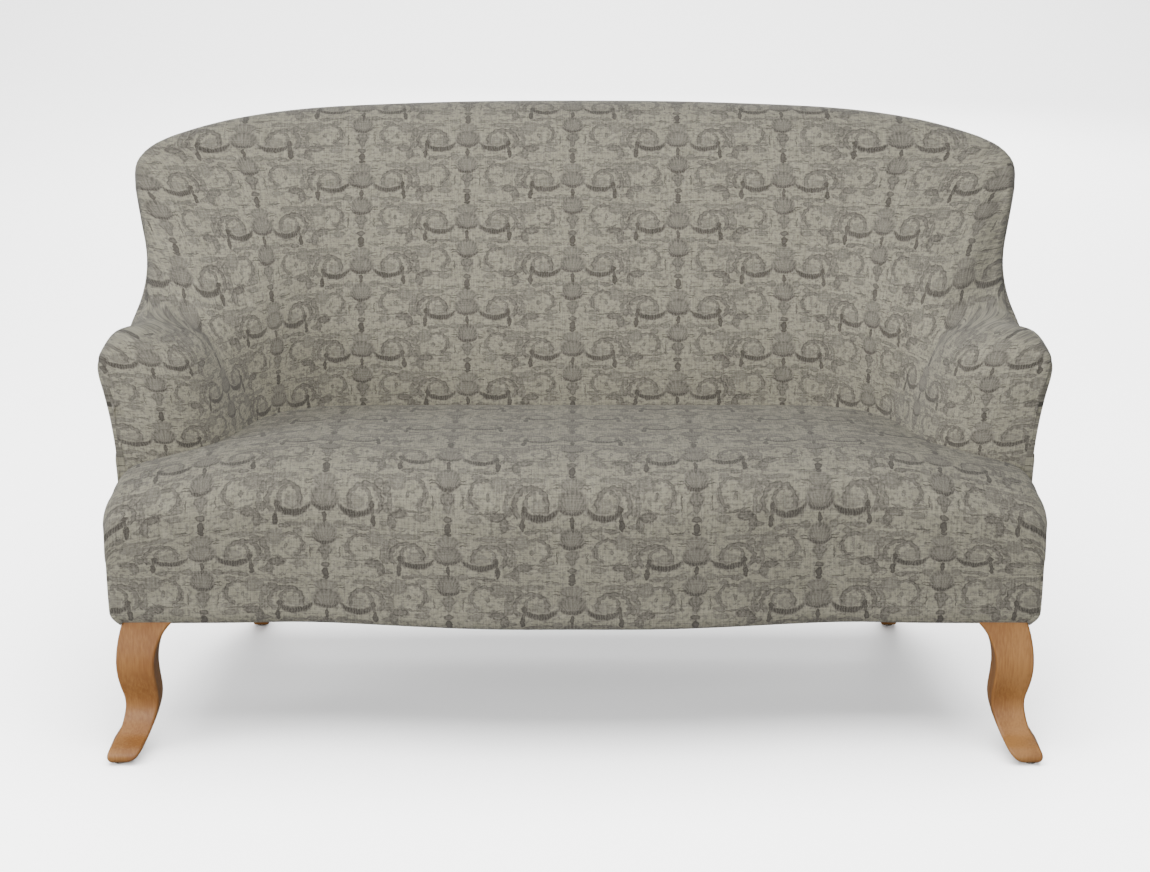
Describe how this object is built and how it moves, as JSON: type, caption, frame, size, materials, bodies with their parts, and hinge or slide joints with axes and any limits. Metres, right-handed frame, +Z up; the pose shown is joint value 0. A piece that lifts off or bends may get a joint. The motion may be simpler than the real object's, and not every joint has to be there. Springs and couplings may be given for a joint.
{
  "type": "sofa",
  "caption": "Small upholstered sofa with a wrapped winged back, low sloping arms, a deep bow-fronted seat block and curved wooden legs.",
  "frame": {"origin": "on the floor, under the middle of the whole sofa", "axes": "+X to the right of someone looking at the front, along the length of the sofa; +Y towards the back; +Z up"},
  "size_m": [1.496, 0.7456, 0.9312],
  "materials": {
    "cover": "matte",
    "frame_timber": "matte",
    "board": "matte",
    "foam": "matte",
    "hessian": "matte",
    "webbing": "matte",
    "wadding": "matte",
    "felt": "matte",
    "dust_cloth": "matte",
    "leg_wood": "satin",
    "steel_wire": "satin",
    "steel": "satin",
    "glide": "satin"
  },
  "bodies": {
    "root": {"outside_back_cover": "cover", "outside_arm_cover_left": "cover", "outside_arm_cover_right": "cover", "inside_cover": "cover", "seat_cover": "cover", "seat_springs": "steel_wire", "spring_clips": "steel_wire", "spring_tie_wires": "steel_wire", "front_rail": "frame_timber", "back_rail": "frame_timber", "centre_rail": "frame_timber", "side_rail_left": "frame_timber", "side_rail_right": "frame_timber", "front_block_left": "frame_timber", "front_block_right": "frame_timber", "rear_block_left": "frame_timber", "rear_block_right": "frame_timber", "arm_facing_left": "frame_timber", "arm_facing_right": "frame_timber", "arm_rail_left": "frame_timber", "arm_rail_right": "frame_timber", "arm_post_left": "frame_timber", "arm_post_right": "frame_timber", "wing_board_left": "frame_timber", "wing_board_right": "frame_timber", "arm_tack_rail_left": "frame_timber", "arm_tack_rail_right": "frame_timber", "crest_rail": "frame_timber", "back_tack_rail": "frame_timber", "back_support_left": "frame_timber", "back_support_centre": "frame_timber", "back_support_right": "frame_timber", "frame_dowels": "frame_timber", "arm_board_left": "board", "arm_board_right": "board", "arm_foam_left": "foam", "arm_foam_right": "foam", "back_foam": "foam", "seat_foam": "foam", "back_hessian": "hessian", "seat_hessian": "hessian", "back_webbing": "webbing", "seat_wadding": "wadding", "front_border_felt": "felt", "dust_cover": "dust_cloth", "front_leg_left": "leg_wood", "front_leg_right": "leg_wood", "rear_leg_left": "leg_wood", "rear_leg_right": "leg_wood", "leg_bolts": "steel", "block_screws": "steel", "leg_glides": "glide"}
  },
  "joints": []
}
